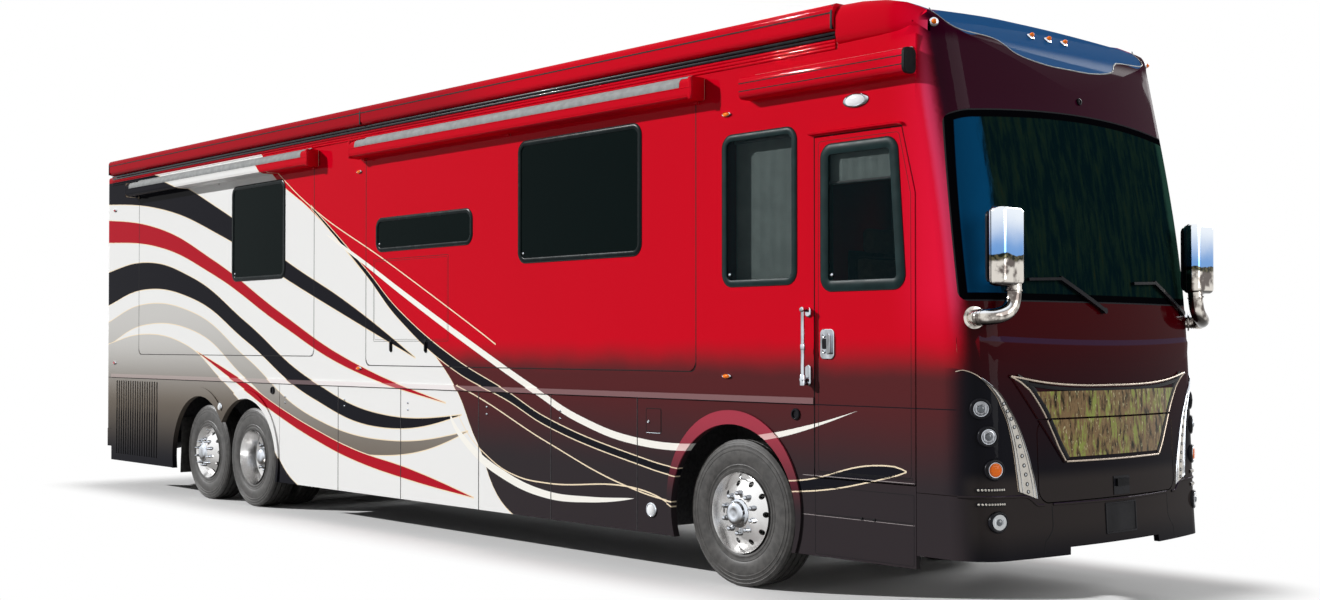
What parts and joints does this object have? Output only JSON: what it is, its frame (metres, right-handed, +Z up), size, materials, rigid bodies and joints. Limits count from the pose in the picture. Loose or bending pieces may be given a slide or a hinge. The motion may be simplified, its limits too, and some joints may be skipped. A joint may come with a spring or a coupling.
{
  "type": "three-axle motorhome",
  "caption": "Long bus-type motorhome with slide-out rooms, side-hinged luggage bays, a rear engine and a steered front axle.",
  "frame": {"origin": "on the ground, under the middle of the vehicle's length and width", "axes": "+X forward along the vehicle, +Y to its left, +Z up"},
  "size_m": [13.7124, 2.88, 4.11],
  "materials": {
    "coach_paint": "gloss candy red fading to black",
    "roof_white": "satin",
    "dark_glass": "tinted",
    "black_trim": "satin",
    "chrome": "polished",
    "alloy": "polished",
    "tyre_rubber": "matt",
    "frame_steel": "chassis black",
    "floor_board": "satin",
    "lamp_lens": "clear",
    "red_lens": "clear",
    "seat_leather": "soft"
  },
  "bodies": {
    "coach": {"chassis_frame": "frame_steel", "floor_deck": "floor_board", "luggage_bays": "frame_steel", "wheel_housings": "frame_steel", "side_wall_right": "coach_paint", "side_wall_left": "coach_paint", "roof_shell": "roof_white", "awning_cassettes": "coach_paint", "front_cap": "coach_paint", "rear_cap": "coach_paint", "windshield": "dark_glass", "side_windows": "dark_glass", "roof_units": "roof_white", "fender_panels": "coach_paint", "front_bumper": "coach_paint", "grille_panel": "chrome", "lamps": "lamp_lens", "rear_bumper": "coach_paint", "hitch_receiver": "frame_steel", "axles": "frame_steel", "wipers": "black_trim", "engine_block": "frame_steel", "cab_seats": "seat_leather", "dashboard": "black_trim", "mirrors": "chrome", "grab_handle": "chrome"},
    "generator_tray": {"generator_door": "coach_paint", "grille_lower": "chrome", "generator_tray": "frame_steel"},
    "entry_door": {"entry_door": "coach_paint", "entry_door_glass": "dark_glass"},
    "rear_lid": {"rear_lid": "coach_paint"},
    "slide_front_right": {"slide_front_right": "coach_paint", "slide_front_right_glass": "dark_glass"},
    "slide_rear_right": {"slide_rear_right": "coach_paint", "slide_rear_right_glass": "dark_glass"},
    "slide_left": {"slide_left": "coach_paint", "slide_left_glass": "dark_glass"},
    "bay_door_right_1": {"bay_door_right_1": "coach_paint"},
    "bay_door_right_2": {"bay_door_right_2": "coach_paint"},
    "bay_door_right_3": {"bay_door_right_3": "coach_paint"},
    "bay_door_right_4": {"bay_door_right_4": "coach_paint"},
    "bay_door_right_5": {"bay_door_right_5": "coach_paint"},
    "bay_door_left_1": {"bay_door_left_1": "coach_paint"},
    "bay_door_left_2": {"bay_door_left_2": "coach_paint"},
    "bay_door_left_3": {"bay_door_left_3": "coach_paint"},
    "knuckle_right": {"knuckle_right": "frame_steel"},
    "knuckle_left": {"knuckle_left": "frame_steel"},
    "wheel_front_right": {"tyre_front_right": "tyre_rubber", "rim_front_right": "alloy"},
    "wheel_front_left": {"tyre_front_left": "tyre_rubber", "rim_front_left": "alloy"},
    "wheel_drive_right": {"tyre_drive_right": "tyre_rubber", "rim_drive_right": "alloy"},
    "wheel_drive_left": {"tyre_drive_left": "tyre_rubber", "rim_drive_left": "alloy"},
    "wheel_tag_right": {"tyre_tag_right": "tyre_rubber", "rim_tag_right": "alloy"},
    "wheel_tag_left": {"tyre_tag_left": "tyre_rubber", "rim_tag_left": "alloy"}
  },
  "joints": [
    {"name": "generator_slide", "type": "slide", "parent": "coach", "child": "generator_tray", "axis": [1, 0, 0], "range_m": [0, 0.65]},
    {"name": "entry_door_hinge", "type": "hinge", "parent": "coach", "child": "entry_door", "pos_m": [6.209, -1.291, 1.9], "axis": [0, 0, 1], "range_deg": [0, 90]},
    {"name": "rear_lid_hinge", "type": "hinge", "parent": "coach", "child": "rear_lid", "pos_m": [-6.84, 0, 1.564], "axis": [0, 1, 0], "range_deg": [0, 80]},
    {"name": "slide_front_right_run", "type": "slide", "parent": "coach", "child": "slide_front_right", "axis": [0, -1, 0], "range_m": [0, 0.7]},
    {"name": "slide_rear_right_run", "type": "slide", "parent": "coach", "child": "slide_rear_right", "axis": [0, -1, 0], "range_m": [0, 0.7]},
    {"name": "slide_left_run", "type": "slide", "parent": "coach", "child": "slide_left", "axis": [0, 1, 0], "range_m": [0, 0.7]},
    {"name": "bay_door_right_1_hinge", "type": "hinge", "parent": "coach", "child": "bay_door_right_1", "pos_m": [-1.03975, -1.291, 0.8], "axis": [0, 0, 1], "range_deg": [0, 90]},
    {"name": "bay_door_right_2_hinge", "type": "hinge", "parent": "coach", "child": "bay_door_right_2", "pos_m": [0.10525, -1.291, 0.8], "axis": [0, 0, 1], "range_deg": [0, 90]},
    {"name": "bay_door_right_3_hinge", "type": "hinge", "parent": "coach", "child": "bay_door_right_3", "pos_m": [1.36475, -1.291, 0.8], "axis": [0, 0, 1], "range_deg": [0, 90]},
    {"name": "bay_door_right_4_hinge", "type": "hinge", "parent": "coach", "child": "bay_door_right_4", "pos_m": [2.39525, -1.291, 0.8], "axis": [0, 0, 1], "range_deg": [0, 90]},
    {"name": "bay_door_right_5_hinge", "type": "hinge", "parent": "coach", "child": "bay_door_right_5", "pos_m": [3.483, -1.291, 0.8], "axis": [0, 0, 1], "range_deg": [0, 90]},
    {"name": "bay_door_left_1_hinge", "type": "hinge", "parent": "coach", "child": "bay_door_left_1", "pos_m": [-0.35275, 1.291, 0.8], "axis": [0, 0, -1], "range_deg": [0, 90]},
    {"name": "bay_door_left_2_hinge", "type": "hinge", "parent": "coach", "child": "bay_door_left_2", "pos_m": [1.5365, 1.291, 0.8], "axis": [0, 0, -1], "range_deg": [0, 90]},
    {"name": "bay_door_left_3_hinge", "type": "hinge", "parent": "coach", "child": "bay_door_left_3", "pos_m": [3.483, 1.291, 0.8], "axis": [0, 0, -1], "range_deg": [0, 90]},
    {"name": "steer_right", "type": "hinge", "parent": "coach", "child": "knuckle_right", "pos_m": [4.531, -0.9, 0.53], "axis": [0, 0, 1], "range_deg": [-40, 40]},
    {"name": "steer_left", "type": "hinge", "parent": "coach", "child": "knuckle_left", "pos_m": [4.531, 0.9, 0.53], "axis": [0, 0, 1], "range_deg": [-40, 40]},
    {"name": "wheel_front_right_spin", "type": "hinge", "parent": "knuckle_right", "child": "wheel_front_right", "pos_m": [4.531, -1.082, 0.53], "axis": [0, 1, 0], "continuous": true},
    {"name": "wheel_front_left_spin", "type": "hinge", "parent": "knuckle_left", "child": "wheel_front_left", "pos_m": [4.531, 1.082, 0.53], "axis": [0, 1, 0], "continuous": true},
    {"name": "wheel_drive_right_spin", "type": "hinge", "parent": "coach", "child": "wheel_drive_right", "pos_m": [-2.989, -1.082, 0.53], "axis": [0, 1, 0], "continuous": true},
    {"name": "wheel_drive_left_spin", "type": "hinge", "parent": "coach", "child": "wheel_drive_left", "pos_m": [-2.989, 1.082, 0.53], "axis": [0, 1, 0], "continuous": true},
    {"name": "wheel_tag_right_spin", "type": "hinge", "parent": "coach", "child": "wheel_tag_right", "pos_m": [-4.103, -1.07, 0.53], "axis": [0, 1, 0], "continuous": true},
    {"name": "wheel_tag_left_spin", "type": "hinge", "parent": "coach", "child": "wheel_tag_left", "pos_m": [-4.103, 1.07, 0.53], "axis": [0, 1, 0], "continuous": true}
  ],
  "couplings": [
    {"joint": "steer_left", "follows": "steer_right", "ratio": 1}
  ]
}
